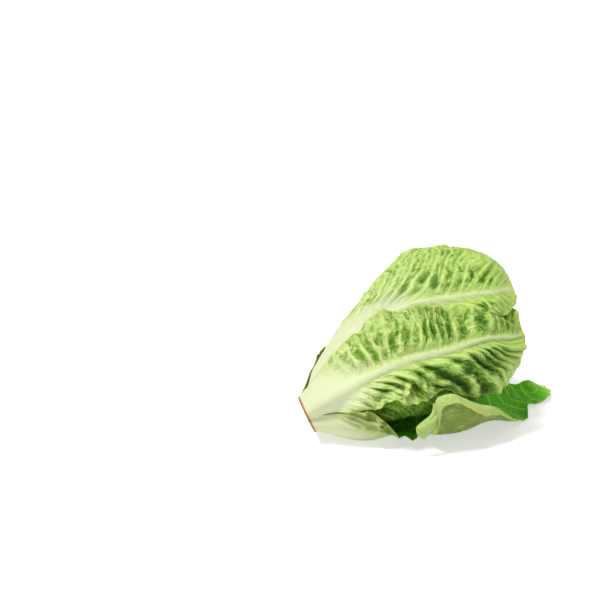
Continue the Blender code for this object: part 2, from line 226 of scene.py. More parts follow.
def hull_radius(u, theta):
    """Distance from the axis to the inner face of the outermost layer."""
    widening = np.sin(math.pi / 2 * ramp(u / WIDENING_LENGTH)) ** 1.15
    past = np.clip(u - NARROWING_START, 0, None) / NARROWING_LENGTH
    narrowing = np.clip(1 - past ** 2, NARROWEST, 1)
    radius = BUTT_RADIUS + (BELLY_RADIUS - BUTT_RADIUS) * widening * narrowing
    sides = {
        "upward": (0.5 + 0.5 * np.cos(theta - math.radians(105))) ** 2,
        "downward": 0.5 + 0.5 * np.cos(theta + math.radians(80)),
        "nearside": bump(np.sin(0.5 * (theta + math.radians(18))) / 0.3),
    }
    for height, middle, reach, side in SWELLS:
        radius += height * MM * bump((u - middle * MM) / (reach * MM)) * sides[side]
    not_below = 1 - sides["downward"]
    radius -= 1.5 * MM * ramp(u / (60 * MM)) * not_below
    radius -= 4 * MM * smooth((u - 140 * MM) / (20 * MM)) * not_below * (1 - sides["upward"])
    lumps = np.sin(3 * theta + 40 * u) + 0.6 * np.sin(5 * theta - 75 * u + 1)
    return radius + LUMP_HEIGHT * lumps * ramp(u / (90 * MM))


print("widest, mm:", round(2 * float(hull_radius(np.array(0.11), np.array(0.0))) / MM))

# %% [markdown]
# ## From the head to the world
#
# The head's weight presses its underside flat where it touches the surface. The whole
# head is also a little crumpled, in waves some 66 mm long, because no head is quite
# round. Its butt was cut slightly askew.

# %% From the head to the world
BLADE = 0.85 * MM
CUT_SLANT = 0.2
CUT_SLANT_LENGTH = 30 * MM
PRESS_SOFTNESS = 1.5 * MM
PRESS_SINK = 0.25 * MM
CRUMPLE_HEIGHT = 2 * MM
CRUMPLE_LENGTH = 66 * MM


def settle(u, theta, rho):
    """Takes head coordinates to the world, with the underside pressed flat on the surface."""
    u = u - CUT_SLANT * rho * np.cos(theta) * ramp(1 - u / CUT_SLANT_LENGTH)
    x, z, tilt = axis(u)
    hull = hull_radius(u, theta) + BLADE
    height = z + hull * np.sin(theta) * np.cos(tilt)
    lift = 0.5 * (np.hypot(height, PRESS_SOFTNESS) - height) - PRESS_SINK
    lift = np.clip(lift, 0, None) * np.clip(rho / hull, 0, 1.2) ** 2
    side = -rho * np.cos(theta)
    upright = z + rho * np.sin(theta) * np.cos(tilt) + lift
    wave = 2 * math.pi / CRUMPLE_LENGTH
    crumple = CRUMPLE_HEIGHT * ramp((u - 40 * MM) / (60 * MM)) * ramp(upright / (30 * MM) - 0.4)
    return np.stack(
        [
            x + BUTT.x - rho * np.sin(theta) * np.sin(tilt),
            side + crumple * np.sin(wave * upright + 20 * u + 1),
            upright + crumple * np.sin(wave * side - 30 * u),
        ],
        -1,
    )


middle = settle(np.array(0.11), np.array(0.0), np.array(0.0))
print("a point of the axis, mm:", [round(float(c) / MM) for c in middle])

# %% [markdown]
# ## Layers
#
# Leaves never cross in a real head: each one grew inside the last. So every leaf here
# has a layer of its own, a nested shell round the axis. Few layers meet at the butt and
# many at the belly, because the inner leaves part from the stem higher up.

# %% Layers
STEM_LENGTH = 58 * MM
STEM_RADIUS = 6 * MM
GAP = 0.45 * MM
BUTT_LAYERS = 4
OUTER_LAYERS = 5
LAYERS = 18
BRANCHING_LENGTH = 68 * MM
BRANCHING_GAP = 1.4 * MM
LEAST_SHARE = 0.42
OVER_SHARE = 0.35
# The outermost layer that is there, in each direction round the head
OUTERMOST = [(-130, 0), (-25, 0), (25, 1.9), (90, 2.9), (135, 3.3), (195, 1), (230, 0)]


def depth(layer):
    """How deep a layer lies; outer layers lie looser than inner ones."""
    return layer + 3 * (1 - np.exp(-layer / 3))


def layer_share(layer, u):
    """Where a layer lies at u between the core, 0, and the head's outside, 1."""
    grown = np.sin(math.pi / 2 * ramp(u / BRANCHING_LENGTH)) ** 2
    present = BUTT_LAYERS + (LAYERS - BUTT_LAYERS) * grown
    return ramp(1 - depth(layer) / depth(present))


def layer_radius(layer, u, theta):
    """Distance from the axis to the inner face of a layer."""
    core = STEM_RADIUS * ramp(1 - (u / STEM_LENGTH) ** 2) + GAP
    angle = (np.degrees(theta) + 130) % 360 - 130
    outermost = along(angle * MM, OUTERMOST)
    share = layer_share(layer, u) / np.maximum(layer_share(outermost, u), LEAST_SHARE)
    share = np.where(share > 1, 1 + OVER_SHARE * (share - 1), share)
    return core + (hull_radius(u, theta) - core) * share


def layer_start(layer):
    """Where a layer parts from the stem."""
    share = (layer - BUTT_LAYERS) / (LAYERS - BUTT_LAYERS)
    return BRANCHING_LENGTH * math.asin(math.sqrt(share)) / (math.pi / 2) + BRANCHING_GAP


print("the innermost leaf starts at, mm:", round(layer_start(LAYERS - 2) / MM))

# %% [markdown]
# ## The leaves
#
# One record per leaf says where its rib runs, where its two margins lie, how far its
# tip reaches, and how it is pleated. Pairs hold one value for each side of the rib, the
# low side first. The five outer leaves were each read from how such a head looks.

# %% The outer leaves
@dataclass
class Leaf:
    """Stations are (u in mm, degrees), heights in mm, and other lengths in metres."""

    name: str
    layer: int
    tip: float
    bow: float
    rib: list
    low: list
    high: list
    cells: tuple
    start: float = 0.0
    white: float = 60 * MM
    spacing: tuple = (9 * MM, 9 * MM)
    folds: tuple = (0.0, 0.0)
    waver: tuple = (0.8, 0.8)
    crumpled: tuple = (0.38, 0.38)
    lean: tuple = (0.5, 0.5)
    pleat: tuple = (2.2, 2.2)
    blister: float = 1.2
    ruffle: tuple = (3.0, 3.0)
    curl: tuple = (1.0, 1.0)
    swell: float = 0.5
    rib_white: float = 1.0
    rib_fade: float = 0.35
    rib_height: float = 3.2
    tones: str = "outer"


leaves = [
    Leaf(
        "leaf_floor", 0, 207 * MM, 13 * MM,
        rib=[(0, -66), (60, -70), (120, -80), (160, -92), (207, -103)],
        low=[(0, -140), (60, -130), (120, -134), (150, -126), (180, -114), (207, -109)],
        high=[
            (0, 8), (20, 0), (37, -5), (45, -29), (54, -50), (63, -46), (70, -22), (74, 2),
            (80, 9), (88, 7), (96, 0), (105, -8), (117, -17), (130, -34), (143, -53),
            (152, -64), (163, -70), (173, -80), (190, -84), (207, -88),
        ],
        cells=(230, 186), white=36 * MM, spacing=(13 * MM, 13 * MM), lean=(0.7, 0.7),
        pleat=(0.5, 0.7), blister=0.35, curl=(0.9, 0.6), rib_fade=0.95, rib_height=1.2,
        tones="floor",
    ),
    Leaf(
        "leaf_back_low", 1, 158 * MM, 24 * MM,
        rib=[(0, 205)],
        low=[(0, 146), (60, 152), (160, 158)],
        high=[(0, 280), (60, 258), (160, 250)],
        cells=(140, 130), lean=(0.7, 0.9), pleat=(4, 4), ruffle=(0.8, 4), curl=(0.1, 1.2),
    ),
    Leaf(
        "leaf_front", 2, 152 * MM, 16 * MM,
        rib=[(0, 34), (48, 31), (91, 27), (121, 23), (152, 15)],
        low=[
            (0, -4), (18, 2), (37, -1), (46, 2), (64, -4), (74, -4), (84, 0), (94, -8),
            (114, -19), (132, -26), (152, -28),
        ],
        high=[
            (0, 112), (11, 88), (28, 79), (55, 75), (67, 68), (85, 59), (104, 49), (124, 38),
            (137, 31), (152, 26),
        ],
        cells=(244, 194), white=46 * MM, spacing=(9.5 * MM, 6.6 * MM), folds=(0.8, 0.1),
        waver=(1.3, 1.2), crumpled=(0.4, 0.5), lean=(1.7, 0.15), pleat=(11, 7), blister=2,
        ruffle=(4, 3), curl=(1.9, 1.4),
    ),
    Leaf(
        "leaf_top", 3, 165 * MM, 22 * MM,
        rib=[(0, 80), (68, 71), (93, 61), (114, 54), (142, 50), (168, 56)],
        low=[(0, 5), (40, 12), (90, 10), (112, 28), (127, 36), (140, 33), (168, 30)],
        high=[(0, 150), (40, 132), (90, 126), (168, 128)],
        cells=(210, 200), white=92 * MM, spacing=(9 * MM, 9.5 * MM), crumpled=(0.45, 0.45),
        lean=(0.9, 1.25), pleat=(5, 4.2), blister=1.6, ruffle=(4, 0.8), curl=(1.6, 0.1),
    ),
    Leaf(
        "leaf_back", 4, 160 * MM, 24 * MM,
        rib=[(0, 152)],
        low=[(0, 85), (60, 100), (160, 104)],
        high=[(0, 220), (60, 206), (160, 202)],
        cells=(140, 130), start=layer_start(4), lean=(0.7, 0.8), pleat=(4, 4),
        ruffle=(2, 3), curl=(0.5, 1),
    ),
]
print("outer leaves:", [leaf.name for leaf in leaves])

# %% [markdown]
# ## The inner leaves
#
# The twelve inner leaves follow a rule: every next leaf of a lettuce stands a golden
# angle, 137.5 degrees, further round the stem. Each wraps about the same width of blade
# round its layer. The first one shows in the notch of the lowest leaf, so it is finer
# than the others, and its rib is turned away from there.

# %% The inner leaves
GOLDEN_STEP = 137.5
FIRST_DIRECTION = -30
FIRST_RIB_TURN = 50
GREEN_LEAVES = 5
WIDEST_HALF, HALF_LOST_INWARD = 54, 22
# Share of the length, share of the width, and most degrees to each side of the rib
INNER_OUTLINE = ((0, 0.35, 80), (0.35, 0.85, 112), (0.7, 1, 112), (1, 0.75, 112))


def inner_turns(layer, start, tip, direction, inward):
    """Stations of the angle from an inner leaf's middle to its margins."""
    turns = []
    for share, breadth, widest in INNER_OUTLINE:
        u = start + (tip - start) * share
        radius = float(layer_radius(layer, np.array(u), np.array(math.radians(direction))))
        half = breadth * (WIDEST_HALF - HALF_LOST_INWARD * inward) * MM / radius
        turns.append((u / MM, min(math.degrees(half), widest)))
    return turns


def inner_leaf(layer):
    """The record of one inner leaf."""
    number = layer - OUTER_LAYERS
    first = number == 0
    direction = FIRST_DIRECTION + GOLDEN_STEP * number
    start = layer_start(layer)
    tip = (164 - 0.9 * number + 4 * math.sin(2.3 * layer)) * MM
    turns = inner_turns(layer, start, tip, direction, number / (LAYERS - OUTER_LAYERS - 1))
    return Leaf(
        f"leaf_inner_{number + 1:02d}", layer, tip, 12 * MM,
        rib=[(0, direction + (FIRST_RIB_TURN if first else 0))],
        low=[(u, direction - turn) for u, turn in turns],
        high=[(u, direction + turn) for u, turn in turns],
        cells=(140, 126) if first else (66, 72), start=start,
        white=10 * MM if first else 52 * MM, pleat=(5.5, 5.5), blister=2, ruffle=(5, 5),
        curl=(1.4, 1.4), swell=0.15 if first else 0.5, rib_white=0 if first else 1,
        rib_height=0.5 if first else 3.2, tones="green" if number < GREEN_LEAVES else "heart",
    )


leaves += [inner_leaf(layer) for layer in range(OUTER_LAYERS, LAYERS - 1)]
print("leaves:", len(leaves), "cells:", sum(2 * leaf.cells[0] * leaf.cells[1] for leaf in leaves))

# %% [markdown]
# ## Room between leaves
#
# A pleat or a ruffle needs room. Inside the head a leaf has only the gap below the next
# one out. Past that leaf's margin it is free, and it may swell the more, the further it
# gets from the margin. `room` measures this, and all relief is held under it.

# %% Room between leaves
TIP_ROUNDING = 2.2
MOST_ROOM = 20 * MM
TIP_CLEARANCE = 0.6 * MM
FREE_SLOPE = 0.8


def edges(leaf, u):
    """Rib direction and the angles from it to the two margins, in radians."""
    rib = np.radians(along(u, leaf.rib))
    return rib, rib - np.radians(along(u, leaf.low)), np.radians(along(u, leaf.high)) - rib


def outside(leaf, u, theta):
    """Distance from the leaf's outline, 0 within it."""
    rib, below, above = edges(leaf, u)
    angle = (theta - rib + math.pi) % (2 * math.pi) - math.pi
    half = np.where(angle < 0, below, above)
    v = np.abs(angle) / half
    beside = (v - 1) * half * layer_radius(leaf.layer, u, theta)
    past = u - (leaf.tip - leaf.bow * ramp(v) ** TIP_ROUNDING)
    return np.hypot(np.clip(beside, 0, None), np.clip(past, 0, None))


def room(leaf, u, theta, margin):
    """How far the leaf's outer face may stand from its layer."""
    own = layer_radius(leaf.layer, u, theta)
    free = np.full_like(u, MOST_ROOM)
    clearance = GAP + TIP_CLEARANCE * ramp((u - 105 * MM) / (35 * MM))
    for other in leaves:
        if other.layer < leaf.layer:
            away = np.clip(outside(other, u, theta) - margin, 0, None)
            ceiling = layer_radius(other.layer, u, theta) - clearance
            free = np.minimum(free, ceiling + FREE_SLOPE * away - own)
    return free


# %% [markdown]
# ## Patterns of the relief
#
# Nothing on a leaf repeats exactly, so the creases need some chance in them. `noise` is a
# soft field of random hills, which bends the pleats, and whose valleys crumple the blade
# between them. `pillows` cuts the blade into irregular cushions with sharp folds between.
# `crest_line` draws the side veins as sharp crests. Blender's own noise textures could do
# this too, but here the same values also go into the colour, so they are worked out once.

# %% Patterns of the relief
def chance(i, j, seed):
    """A fixed random value between -1 and 1 for each whole-number place."""
    return np.modf(np.abs(np.sin(i * 127.1 + j * 311.7 + seed * 74.7) * 43758.5453))[0] * 2 - 1


def noise(x, y, seed=0):
    """Soft random hills between -1 and 1."""
    i, j = np.floor(x), np.floor(y)
    fx, fy = smooth(x - i), smooth(y - j)
    near = chance(i, j, seed) * (1 - fx) + chance(i + 1, j, seed) * fx
    far = chance(i, j + 1, seed) * (1 - fx) + chance(i + 1, j + 1, seed) * fx
    return near * (1 - fy) + far * fy


def pillows(x, y, seed=0):
    """0 along the folds between irregular cushions, 1 on top of them."""
    i, j = np.floor(x), np.floor(y)
    nearest = np.full_like(x, 9.0)
    second = nearest.copy()
    for a in (-1, 0, 1):
        for b in (-1, 0, 1):
            px = i + a + 0.5 + 0.42 * chance(i + a, j + b, seed)
            py = j + b + 0.5 + 0.42 * chance(i + a, j + b, seed + 5)
            distance = np.hypot(x - px, y - py)
            second = np.minimum(second, np.maximum(nearest, distance))
            nearest = np.minimum(nearest, distance)
    return ramp((second - nearest) * 1.6) ** 0.6


def crest_line(phase):
    """1 on a sharp crest at each whole phase, falling to a round hollow between."""
    return 1 - np.abs(np.sin(math.pi * phase)) ** 1.2


# %% [markdown]
# ## One fine leaf
#
# A leaf starts as Blender's grid primitive. In edit mode the sheet is extruded once, which
# gives it an outer and an inner face and a closed rim. Then every vertex is moved by
# formulas. Sculpting would be the hand-made way, but only formulas can hold 18 nested
# pieces clear of each other. The next cells take them one by one, and each adds what it
# works out to the sheet of points: first where the points lie, and how thick the blade is.

# %% Where the points lie, and the blade
ROW_POWER = 1.4
RIB_HALF_WIDTH, RIB_NARROWING = 5, 3.2
PETIOLE_LENGTH = 62 * MM
PETIOLE_HEIGHT = 2.2 * MM
RIM_THINNING = 0.3 * MM


class Sheet:
    """The points of one leaf: s along it, v across it, -1 at its low margin and 1 at its high."""

    def __init__(self, leaf, s, v):
        self.leaf, self.s, self.v, self.size = leaf, s, v, np.abs(v)
        self.inner = leaf.layer >= OUTER_LAYERS
        self.seed = leaf.layer * 3.0
        self.t = s ** ROW_POWER if self.inner else s
        rounding = leaf.bow * self.t ** 3 * self.size ** TIP_ROUNDING
        u = leaf.start + (leaf.tip - leaf.start) * self.t - rounding
        self.u = u + 1.4 * MM * noise(v * 7, s * 0, self.seed) * self.t ** 10
        rib, below, above = edges(leaf, self.u)
        self.half = np.where(v < 0, below, above)
        self.theta = rib + v * self.half + np.sign(v) * self.teeth(rib)
        self.own = layer_radius(leaf.layer, self.u, self.theta)
        self.arc = v * self.half * self.own
        self.reach = np.abs(self.arc)

    def teeth(self, rib):
        """Small teeth along the margins, as an angle."""
        scallop = 1.3 * noise(self.u / (8 * MM), np.sign(self.v), self.seed)
        scallop = scallop + 0.6 * noise(self.u / (3 * MM), np.sign(self.v), self.seed)
        tooth = self.size ** 8 * scallop * MM / layer_radius(self.leaf.layer, self.u, rib)
        return tooth * ramp(self.s * 4) * ramp(6 - 6 * self.s)

    def side(self, pair):
        """The pair's first value on the low side of the rib, its second on the high side."""
        return np.where(self.v < 0, *pair)


def add_blade(p):
    """Thick at the rib and in the petiole, thin at the rim."""
    p.rib_width = (RIB_HALF_WIDTH - RIB_NARROWING * p.t) * MM
    across = bump(p.arc / p.rib_width)
    young = ramp(1 - p.u / PETIOLE_LENGTH)
    thick = p.leaf.rib_height * MM * across * (1 - 0.7 * p.t)
    thick = thick + PETIOLE_HEIGHT * young * (1 - p.v * p.v)
    p.blade = BLADE - RIM_THINNING * p.size ** 12 + thick * ramp(0.35 + p.u / (20 * MM))


# %% [markdown]
# ## Pleats
#
# Side veins branch off the rib at an angle, and the blade is pleated along them. `phase`
# counts the veins, and is whole on every one, bent here and there by chance. Further out
# a second crest starts between each two, where a vein forks. Between the crests the blade
# is crumpled in three sizes, and cut into cushions. Near the rib and in the white base
# it is smooth.

# %% Pleats
def add_phase(p):
    """Counts the side veins across each point."""
    lean = p.side(p.leaf.lean)
    drift = lean * p.reach * np.clip(1.15 - lean * p.reach / (120 * MM), 0.6, 1.3)
    p.warp = p.side(p.leaf.waver) * noise(
        p.u / (26 * MM), p.reach / (24 * MM), p.seed + 1 + (p.v < 0)
    )
    p.warp = p.warp + 0.13 * noise(p.u / (9 * MM), p.reach / (8 * MM), p.seed + 2)
    p.phase = (p.u - drift) / p.side(p.leaf.spacing) + p.warp + p.side((0.5, 0))


def add_creases(p):
    """Crests on the veins, and crumple and cushions between them, each from 0 to 1."""
    phase, reach, seed = p.phase, p.reach, p.seed
    branch = smooth((reach - 13 * MM) / (14 * MM))
    p.crest = np.maximum(crest_line(phase), 0.85 * branch * crest_line(phase + 0.5))
    broad = np.cos(math.pi * phase + 0.35 * np.sin(2 * math.pi * phase))
    p.ridge = p.crest + p.side(p.leaf.folds) * (np.abs(broad) ** 0.55 - p.crest)
    coarse = noise(1.1 * phase + 7, reach / (9 * MM) + 0.5 * phase, seed + 7)
    medium = noise(2.3 * phase, reach / (4.5 * MM), seed + 8)
    small = noise(4.2 * phase, reach / (2.6 * MM), seed + 10)
    crumple = 0.5 * ramp(1 - 1.5 * np.abs(coarse)) + 0.32 * ramp(1 - 1.4 * np.abs(medium))
    p.crumple = crumple + 0.18 * ramp(1 - 1.4 * np.abs(small))
    outwards = reach / (13 * MM) + 3 * np.sign(p.v) + 0.4 * p.warp
    p.cushion = pillows(0.8 * phase + 0.3 * coarse, outwards, seed + 3)


def add_pleats(p):
    """Height of the pleats and of the blisters between them."""
    leaf = p.leaf
    p.base_edge = leaf.white * (1 - 0.55 * p.size)
    grown = smooth((p.reach - 0.7 * p.rib_width) / (8 * MM))
    grown = grown * smooth((p.u - 0.7 * p.base_edge) / (18 * MM))
    p.grown = grown * (1 - (0.35 + 0.3 * (p.v < -0.3)) * smooth((p.t - 0.82) / 0.15))
    vigour = 0.95 + 0.65 * noise(p.phase * 0.55, p.reach / (26 * MM), p.seed + 4)
    crumpled = p.side(leaf.crumpled)
    shape = (0.88 - crumpled) * p.ridge + crumpled * p.crumple + 0.12 * p.cushion
    p.pleat = p.side(leaf.pleat) * MM * shape * p.grown * vigour
    p.blisters = leaf.blister * MM * p.crumple * (1 - p.crest) * p.grown


# %% [markdown]
# ## Margins
#
# A margin grows faster than the rest of the blade, so it has to ruffle, in long waves with
# short ones on them. Its last few millimetres roll outwards, here more and there less.

# %% Margins
ROLL_WIDTH = 9 * MM
LONG_WAVE = 27 * MM
SHORT_WAVE = 9.5 * MM


def add_margins(p):
    """Height of the ruffles, and the angle and width of the rolled margin."""
    leaf, u = p.leaf, p.u
    inland = ramp((p.t - 0.12) * 4) * ramp((1 - p.t) * 6 - 0.3)
    turn = 2 * math.pi * u
    long_wave = 0.5 + 0.5 * np.sin(turn / LONG_WAVE + 2 * leaf.layer + np.sign(p.v))
    p.short_wave = 0.5 + 0.5 * np.sin(turn / SHORT_WAVE + 3 * leaf.layer + 3 * p.warp)
    waves = p.size ** 5 * long_wave + 0.5 * p.size ** 7 * p.short_wave
    p.ruffle = p.side(leaf.ruffle) * MM * inland * waves
    turning = 0.35 + 0.65 * long_wave * (0.4 + 0.6 * p.short_wave)
    turning = turning + 0.3 * noise(u / (6 * MM), p.v, p.seed + 9)
    p.bend = p.side(leaf.curl) * np.clip(turning, 0.05, 1.3) * inland
    p.roll = ROLL_WIDTH


# %% [markdown]
# ## What is special about some leaves
#
# The lowest leaf has a broad rolled strip along its near margin and a crinkled edge by
# the butt, which is tucked under the front leaf. Its far end lies spread on the surface.
# The front leaf has a cluster of curled blisters below its rib. Inner leaves have wavy
# tips, and the innermost one closes over the heart.

# %% The lowest leaf
STRIP_START = 66 * MM
TUCKED_UNDER = 2


def shape_floor_leaf(p):
    """The rolled strip, the crinkled edge and the tuck."""
    u, v = p.u, p.v
    lively = ramp(5 - u / (28 * MM))
    p.strip = strip = smooth((u - STRIP_START) / (7 * MM)) * lively * (v > 0)
    p.ruffle = p.ruffle * (1 - strip) * lively + 3 * MM * strip * smooth((v - 0.55) / 0.2)
    p.pleat = p.pleat * (1 - strip * smooth((v - 0.5) / 0.2))
    p.frill = bump((u - 42 * MM) / (20 * MM)) * smooth((v - 0.4) / 0.35) * (1 - strip)
    p.crinkle = ramp(1.05 - 1.7 * np.abs(noise(u / (5 * MM), p.arc / (5 * MM), 9)))
    edge = smooth((v - 0.7) / 0.3) * p.short_wave
    p.pleat = p.pleat + 5 * MM * p.frill * (0.6 * p.crumple + 0.5 * p.crinkle + edge)
    p.bend = p.bend * (1 - bump((u - 55 * MM) / (11 * MM)) * (v > 0))
    p.bend = p.bend * (1 - strip) + strip * (4 + 0.7 * noise(u / (16 * MM), u * 0, 4))
    p.roll = p.roll + 3 * MM * strip
    tuck = smooth((v - 0.55) / 0.45) * smooth((50 * MM - u) / (14 * MM))
    p.own = p.own - 0.85 * tuck * (p.own - layer_radius(TUCKED_UNDER, u, p.theta))


def floor_spread(u, v, theta, rho):
    """Lays the far end of the lowest leaf on the surface, where the head above narrows."""
    _, z, tilt = axis(u)
    curl = 5 * MM * np.abs(v) ** 3 * (0.6 + 0.4 * np.sin(2 * math.pi * u / LONG_WAVE))
    reach = (z - 1.2 * MM) / (np.cos(tilt) * np.clip(-np.sin(theta), 0.6, 1))
    share = smooth((u - 112 * MM) / (45 * MM)) * smooth((-np.degrees(theta) - 32) / 25)
    return rho + share * np.clip(reach - curl - rho, 0, None)


# %% The front leaf and the inner leaves
def shape_front_leaf(p):
    """The cluster of curled blisters near the middle of the low margin."""
    p.cluster = bump((p.u - 60 * MM) / (17 * MM)) * smooth((-p.v - 0.35) / 0.3)
    curls = 0.6 * np.abs(noise(p.u / (8.5 * MM), p.arc / (8.5 * MM), 7))
    p.curls = curls + 0.4 * np.abs(noise(p.u / (4 * MM), p.arc / (4 * MM), 9))
    p.pleat = p.pleat * (1 - 0.75 * p.cluster)
    p.ruffle = p.ruffle + 8.5 * MM * p.cluster * ramp(1.05 - 2 * p.curls)


def shape_inner_leaf(p):
    """Wavy tips, and the innermost leaf drawn in to three lobes."""
    wavy = 0.5 + 0.5 * np.sin(8 * p.v + p.leaf.layer)
    p.ruffle = p.ruffle + 2.5 * MM * smooth((p.t - 0.78) / 0.2) * wavy
    if p.leaf.layer == LAYERS - 2:
        lobes = 0.6 + 0.4 * np.cos(3 * p.theta + 1)
        p.own = p.own * (1 - 0.85 * smooth((p.t - 0.45) / 0.4) * lobes)


# %% [markdown]
# ## Held in its room, and rolled
#
# Everything that stands out of a leaf is now held in the room that the leaves outside it
# leave. Inner leaves also swell to fill some of that room. Then the margin is rolled
# outwards on a circle. Where the roll is more than half a turn, it ends straight, as the
# strip of the lowest leaf does.

# %% Held in its room, and rolled
INNER_FACE_SPACE = 3 * MM
MOST_SWELL = 10 * MM
MOST_ROLL = 2.9


def hold_in_room(p):
    """Limits the blade and the relief, and swells the inner leaves."""
    p.free = np.clip(room(p.leaf, p.u, p.theta, 1.5 * MM) - 0.15 * MM, 0.6 * MM, None)
    p.blade = np.minimum(p.blade, p.free)
    relief = p.pleat + p.blisters + p.ruffle
    if p.leaf.layer >= OUTER_LAYERS - 1:
        hollow = hull_radius(p.u, p.theta) - p.own - INNER_FACE_SPACE
        hollow = np.clip(hollow, 0.8 * MM, None)
        swell = np.clip(np.minimum(p.free - p.blade, hollow), 0, MOST_SWELL)
        relief = relief + p.leaf.swell * swell * ramp(p.s * 3)
        p.free = np.minimum(p.free, hollow + INNER_FACE_SPACE)
    p.relief = np.clip(np.minimum(relief, p.free - p.blade), 0, None)


def rolled_points(p, outer):
    """World points of the outer face, where outer is 1, and of the inner face, where it is 0."""
    lowest = p.leaf.layer == 0
    if not lowest:
        p.bend = np.minimum(p.bend, 1.8 * (p.free - p.blade - p.relief) / p.roll)
    bend = np.clip(p.bend, 0.001, None)
    circle = p.roll / bend
    p.rolled = ramp(1 - (1 - p.size) * p.half * p.own / p.roll)
    angle = np.minimum(bend * p.rolled, MOST_ROLL)
    straight = circle * (bend * p.rolled - angle)
    shrink = p.roll * p.rolled - circle * np.sin(angle) - straight * np.cos(angle)
    rho = p.own + p.relief + circle * (1 - np.cos(angle)) + straight * np.sin(angle)
    theta = p.theta - np.sign(p.v) * (shrink + outer * p.blade * np.sin(angle)) / p.own
    if lowest:
        rho = floor_spread(p.u, p.v, theta, rho)
    points = settle(p.u, theta, rho + outer * p.blade * np.cos(angle))
    if lowest:
        points[:, 2] = np.maximum(points[:, 2], np.where(outer > 0.5, 0, 0.7 * MM))
    return points


# %% [markdown]
# ## Marks for the material
#
# The material has to know where it is on the leaf, so each vertex carries marks. A point
# colour holds how white, how high and how far inside it is; the material turns low places
# into painted shade, and some places are set low only for their painted shade. A second
# one holds how near the rim, how near the cut, and how far from the base, and in the
# lowest leaf's notch a painted highlight as well. Two maps hold the place on the blade and
# the count of the side veins.

# %% Marks for the material
MAP_STEP = 100 * MM


def front_height(p, height):
    """Painted shade on the front leaf's low half below its rib, which faces down, a slightly
    darker high side towards the tip, and curls of their own in its cluster.
    """
    u, v = p.u, p.v
    height = height * (1 - p.cluster) + p.cluster * ramp(1.3 - 2 * p.curls)
    # Painted shade on the low half along the middle stretch, which faces down
    shaded = smooth((u - 62 * MM) / (20 * MM)) * (1 - smooth((u - 118 * MM) / (16 * MM)))
    height = height - 0.35 * smooth((-v - 0.08) / 0.2) * shaded
    return height - 0.12 * smooth((v - 0.05) / 0.2) * smooth((u - 70 * MM) / (30 * MM))


def floor_tones(p, outer, rim):
    """Height, outer face and rim of the lowest leaf: a pale strip over a body set low for painted
    shade, painted shade in the pits of the crinkled edge, and a painted highlight on the crinkles
    in the notch.
    """
    folded = p.strip * smooth(p.rolled / 0.15)
    body = smooth((p.u - 40 * MM) / (30 * MM))
    # Painted shade: the body below the rolled strip is set low, so it takes dark colours
    height = 0.85 - 0.6 * body * (1 - folded) + 0.1 * (p.ridge - 0.5)
    # Painted shade in the pits of the crinkled edge
    height = height - (height - 0.2) * ramp(2.2 * p.frill * (0.95 - p.crinkle))
    # Painted highlight on the crinkles in the notch, drawn in the rim colour
    painted_notch_highlight = bump((p.u - 60 * MM) / (20 * MM)) * (1 - outer) * (1 - folded)
    return height, np.maximum(outer, folded), np.maximum(rim, 0.9 * painted_notch_highlight * p.crinkle ** 3)


def leaf_marks(p, outer):
    """The marks of a leaf's points."""
    leaf, u = p.leaf, p.u
    fibres = 0.12 * noise(p.arc / (1.6 * MM), u / (40 * MM), p.seed + 6)
    pale = smooth((p.base_edge - u) / (26 * MM) + 0.5 + fibres)
    rib_line = leaf.rib_white * bump(p.arc / (0.8 * p.rib_width)) * (1 - leaf.rib_fade * p.t)
    streak = 0.75 * leaf.rib_white * p.crest ** 3 * (1 - p.size) ** 0.5
    streak = streak * smooth((p.base_edge + 34 * MM - u) / (34 * MM))
    # How high the point lies in the relief; the material gives the low places painted shade
    height = (0.6 * p.ridge + 0.4 * p.crumple) * p.grown + (1 - p.grown) * 0.75
    rim = np.maximum(p.size ** 36, p.t ** 40)
    if leaf.name == "leaf_front":
        height = front_height(p, height)
    if leaf.name == "leaf_floor":
        rib_line, streak = rib_line * outer, 0
        height, outer, rim = floor_tones(p, outer, rim)
    whiteness = np.maximum(np.maximum(pale, rib_line), streak)
    cut, far, full = ramp(1.6 - u / (1.1 * MM)), p.t ** (1 + p.inner), np.ones_like(u)
    return {
        "leaf_tone": np.stack([whiteness, height, 1 - outer, full], -1),
        "leaf_rim": np.stack([rim, cut, far, full], -1),
        "leaf_place": np.stack([p.arc, u], -1) / MAP_STEP,
        "leaf_veins": np.stack([p.phase, p.arc / MAP_STEP], -1),
    }


def leaf_form(leaf, s, v, outer):
    """World points of a leaf and its marks: s along, v across from -1 to 1, outer 0 or 1."""
    p = Sheet(leaf, s, v)
    for step in (add_blade, add_phase, add_creases, add_pleats, add_margins):
        step(p)
    if leaf.name == "leaf_floor":
        shape_floor_leaf(p)
    if leaf.name == "leaf_front":
        shape_front_leaf(p)
    if p.inner:
        shape_inner_leaf(p)
    hold_in_room(p)
    return rolled_points(p, outer), leaf_marks(p, outer)


# %% Make a sheet from a grid
def deselect():
    """Clears the selection, so that an operator acts on the new piece alone."""
    bpy.ops.object.select_all(action="DESELECT")


def double_sheet(name, rows, columns):
    """A closed sheet of grid cells with an outer face at z 1 and an inner face at z 0."""
    deselect()
    bpy.ops.mesh.primitive_grid_add(x_subdivisions=rows, y_subdivisions=columns, size=1)
    made = bpy.context.object
    made.name = name
    bpy.ops.object.mode_set(mode="EDIT")
    bpy.ops.mesh.select_all(action="SELECT")
    bpy.ops.mesh.extrude_region_move(TRANSFORM_OT_translate={"value": (0, 0, 1)})
    bpy.ops.mesh.select_all(action="SELECT")
    bpy.ops.mesh.normals_make_consistent(inside=False)
    bpy.ops.object.mode_set(mode="OBJECT")
    return made


def read_points(mesh):
    """Vertex places as an array with one row each."""
    flat = np.empty(len(mesh.vertices) * 3)
    mesh.vertices.foreach_get("co", flat)
    return flat.reshape(-1, 3)


